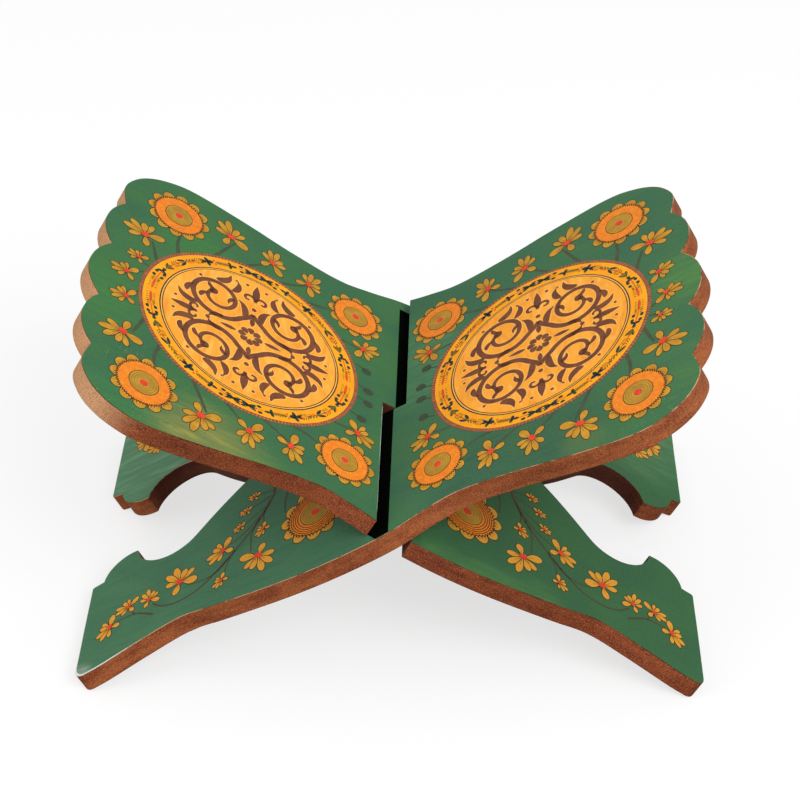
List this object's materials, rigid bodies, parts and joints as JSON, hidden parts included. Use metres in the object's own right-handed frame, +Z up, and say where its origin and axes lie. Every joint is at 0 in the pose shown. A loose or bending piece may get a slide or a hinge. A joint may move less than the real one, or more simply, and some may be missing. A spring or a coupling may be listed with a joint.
{
  "type": "folding book stand",
  "caption": "Folding book stand of flat scalloped boards lapped through each other in an X, with an open V cradle for a book and arched feet.",
  "frame": {"origin": "on the ground, under the middle of the crossing line", "axes": "+X to the right panel, +Y to the back (away from the reader), +Z up"},
  "size_m": [0.2686, 0.1966, 0.1553],
  "materials": {
    "fibreboard": "raw reddish-brown cut edge, matt",
    "printed_film": "green floral print, satin"
  },
  "bodies": {
    "board_b": {"board_b_core": "fibreboard", "board_b_printed_film": "printed_film"},
    "board_a": {"board_a_core": "fibreboard", "board_a_printed_film": "printed_film"}
  },
  "joints": [
    {"name": "lap_hinge", "type": "hinge", "parent": "board_b", "child": "board_a", "pos_m": [0, 0, 0.07722], "axis": [0, 1, 0], "range_deg": [0, 62.8]}
  ]
}
